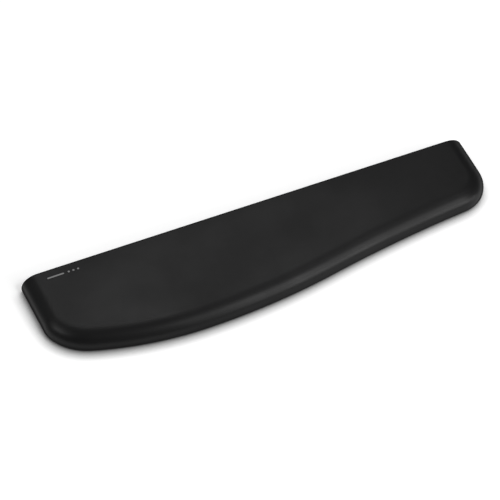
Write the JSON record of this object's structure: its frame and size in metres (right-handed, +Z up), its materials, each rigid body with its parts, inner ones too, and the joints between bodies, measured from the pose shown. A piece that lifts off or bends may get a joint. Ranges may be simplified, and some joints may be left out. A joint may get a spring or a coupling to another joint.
{
  "type": "keyboard wrist rest",
  "caption": "Low padded wrist rest for the front of a full-size keyboard, with a straight back, an off-centre bowed front edge, round shoulders and a flat top.",
  "frame": {"origin": "on the desk, under the middle of the pad's box", "axes": "+X along the length to the narrow end, +Y towards the keyboard, +Z up from the desk"},
  "size_m": [0.445, 0.109, 0.017],
  "materials": {
    "leatherette": "satin",
    "printed_ink": "matte",
    "gel": "gloss",
    "foam": "matte",
    "bonding_film": "satin",
    "board_plastic": "matte",
    "base_rubber": "matte",
    "label_film": "satin"
  },
  "bodies": {
    "root": {"leatherette_cover": "leatherette", "printed_mark": "printed_ink", "gel_layer": "gel", "foam_core": "foam", "foam_adhesive_sheet": "bonding_film", "stiffener_board": "board_plastic", "base_adhesive_sheet": "bonding_film", "anti_slip_base": "base_rubber", "underside_label": "label_film"}
  },
  "joints": []
}
